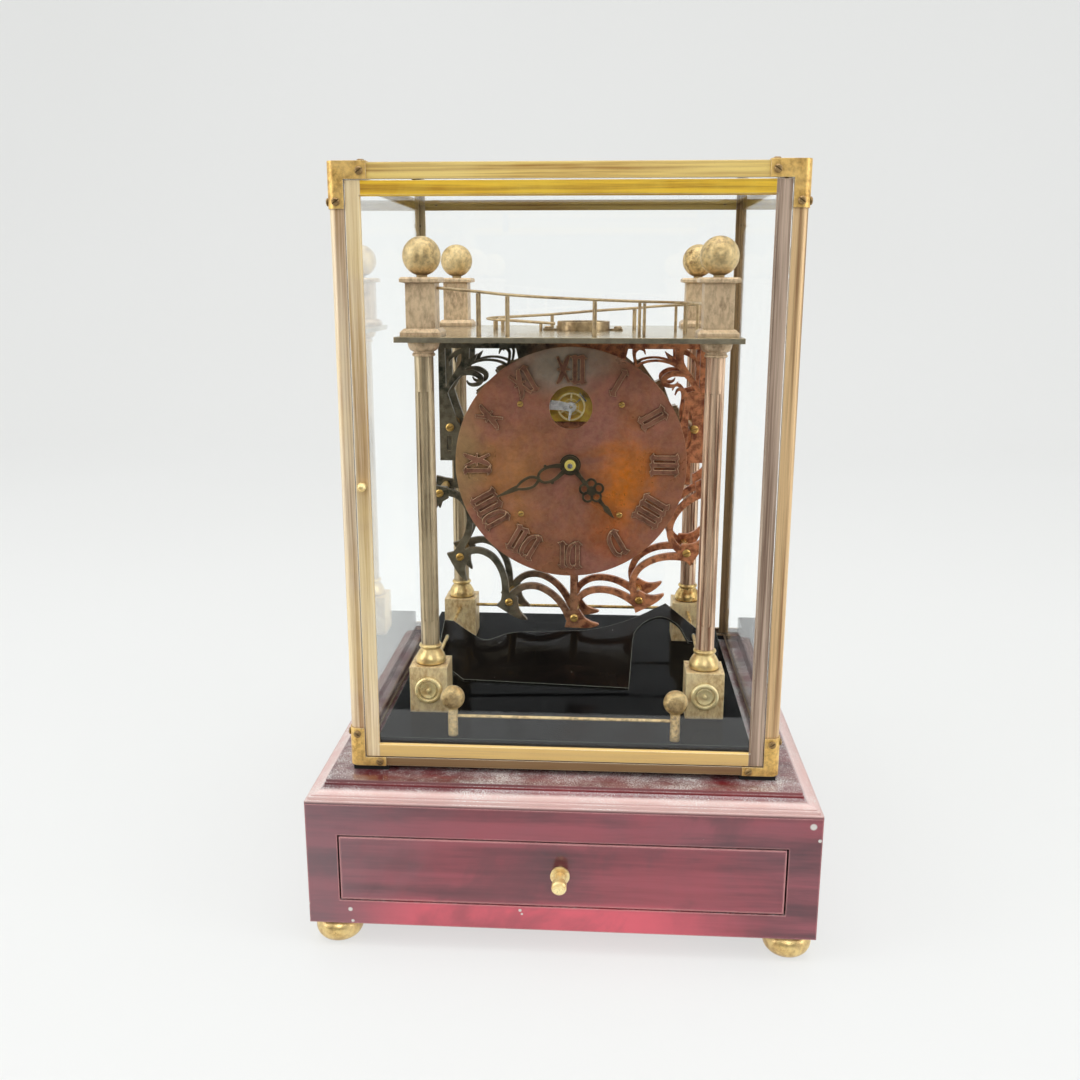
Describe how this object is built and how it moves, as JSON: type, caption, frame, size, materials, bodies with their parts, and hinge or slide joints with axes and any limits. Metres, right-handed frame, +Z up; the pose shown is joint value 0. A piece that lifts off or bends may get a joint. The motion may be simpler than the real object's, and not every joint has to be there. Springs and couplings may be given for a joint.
{
  "type": "rolling ball clock",
  "caption": "Skeleton clock on four pillars in a glazed brass case on a wooden drawer base; falling balls turn a bucket wheel that drives a train and a platform escapement.",
  "frame": {"origin": "on the ground, under the middle of the overall footprint, drawer knob included", "axes": "+Z up, front with door and drawer towards -Y, +X to the viewer's right"},
  "size_m": [0.278, 0.306, 0.4202],
  "materials": {
    "lacquered_wood": "gloss lacquer",
    "raw_wood": "plain",
    "dark_wood": "satin",
    "black_board": "gloss",
    "aged_brass": "aged",
    "bright_brass": "satin",
    "dark_bronze": "patina",
    "copper_dial": "patina",
    "steel": "polished",
    "pane": "clear",
    "felt": "felt",
    "black_metal": "gloss"
  },
  "bodies": {
    "clock_frame": {"base_panels": "lacquered_wood", "base_front": "lacquered_wood", "base_top_board": "lacquered_wood", "floor_board": "black_board", "bun_feet": "bright_brass", "drawer_runners": "raw_wood", "case_pads": "felt", "case_posts": "aged_brass", "case_rails": "aged_brass", "corner_brackets": "aged_brass", "bracket_screws": "dark_bronze", "side_glass": "pane", "back_glass": "pane", "top_glass": "pane", "door_catch": "black_metal", "lower_blocks": "aged_brass", "rosettes": "bright_brass", "column_bases": "bright_brass", "columns": "dark_bronze", "capitals": "aged_brass", "top_plate": "dark_bronze", "upper_blocks": "dark_bronze", "finial_balls": "aged_brass", "stretcher_rods": "aged_brass", "gallery": "aged_brass", "ball_ramp": "black_metal", "track_rails": "dark_bronze", "track_posts": "dark_bronze", "hopper_ring": "dark_bronze", "front_plate": "dark_bronze", "back_plate": "dark_bronze", "plate_pillars": "bright_brass", "plate_screws": "bright_brass", "train_plate": "bright_brass", "dial": "copper_dial", "numerals": "copper_dial", "platform": "bright_brass", "balance_cock": "steel"},
    "drawer": {"drawer_front": "lacquered_wood", "drawer_box": "dark_wood", "drawer_knob": "bright_brass", "ball_rack": "dark_wood", "drive_balls": "steel"},
    "door": {"door_frame": "aged_brass", "door_glass": "pane", "door_knob": "bright_brass", "hinge_pins": "aged_brass"},
    "bucket_wheel": {"ball_wheel": "dark_bronze"},
    "second_arbor": {"second_wheel": "bright_brass"},
    "minute_arbor": {"centre_arbor": "steel", "centre_wheel": "bright_brass", "minute_hand": "black_metal"},
    "third_arbor": {"third_wheel": "bright_brass"},
    "fourth_arbor": {"fourth_wheel": "bright_brass"},
    "escape_arbor": {"escape_wheel": "bright_brass"},
    "lever": {"pallet_lever": "steel"},
    "balance_staff": {"balance": "bright_brass"},
    "motion_wheel": {"minute_wheel": "bright_brass"},
    "hour_pipe": {"hour_wheel": "bright_brass", "hour_hand": "black_metal"}
  },
  "joints": [
    {"name": "drawer_slide", "type": "slide", "parent": "clock_frame", "child": "drawer", "axis": [0, -1, 0], "range_m": [0, 0.15]},
    {"name": "door_hinge", "type": "hinge", "parent": "clock_frame", "child": "door", "pos_m": [0.106, -0.1145, 0.2575], "axis": [0, 0, 1], "range_deg": [0, 110]},
    {"name": "minute_spin", "type": "hinge", "parent": "clock_frame", "child": "minute_arbor", "pos_m": [0, 0.007, 0.2545], "axis": [0, 1, 0], "continuous": true},
    {"name": "bucket_spin", "type": "hinge", "parent": "clock_frame", "child": "bucket_wheel", "pos_m": [0, 0.007, 0.2545], "axis": [0, 1, 0], "continuous": true},
    {"name": "second_spin", "type": "hinge", "parent": "clock_frame", "child": "second_arbor", "pos_m": [-0.024, 0.007, 0.2545], "axis": [0, 1, 0], "continuous": true},
    {"name": "third_spin", "type": "hinge", "parent": "clock_frame", "child": "third_arbor", "pos_m": [0.01893, 0.007, 0.26666], "axis": [0, 1, 0], "continuous": true},
    {"name": "fourth_spin", "type": "hinge", "parent": "clock_frame", "child": "fourth_arbor", "pos_m": [0.01792, 0.007, 0.28278], "axis": [0, 1, 0], "continuous": true},
    {"name": "escape_spin", "type": "hinge", "parent": "clock_frame", "child": "escape_arbor", "pos_m": [0.01, 0.007, 0.2965], "axis": [0, 1, 0], "continuous": true},
    {"name": "motion_spin", "type": "hinge", "parent": "clock_frame", "child": "motion_wheel", "pos_m": [-0.00848, 0.007, 0.24602], "axis": [0, 1, 0], "continuous": true},
    {"name": "hour_spin", "type": "hinge", "parent": "clock_frame", "child": "hour_pipe", "pos_m": [0, 0.007, 0.2545], "axis": [0, 1, 0], "continuous": true},
    {"name": "lever_rock", "type": "hinge", "parent": "clock_frame", "child": "lever", "pos_m": [0.00656, 0.007, 0.29375], "axis": [0, 1, 0], "range_deg": [-2, 2]},
    {"name": "balance_swing", "type": "hinge", "parent": "clock_frame", "child": "balance_staff", "pos_m": [0, 0.007, 0.2885], "axis": [0, 1, 0], "range_deg": [-160, 160], "stiffness_Nm_per_rad": 0.000001}
  ],
  "couplings": [
    {"joint": "bucket_spin", "follows": "minute_spin", "ratio": 0.083333},
    {"joint": "second_spin", "follows": "minute_spin", "ratio": -0.33333},
    {"joint": "third_spin", "follows": "minute_spin", "ratio": -8},
    {"joint": "fourth_spin", "follows": "minute_spin", "ratio": 60},
    {"joint": "escape_spin", "follows": "minute_spin", "ratio": -600},
    {"joint": "motion_spin", "follows": "minute_spin", "ratio": -0.33333},
    {"joint": "hour_spin", "follows": "minute_spin", "ratio": 0.083333}
  ]
}
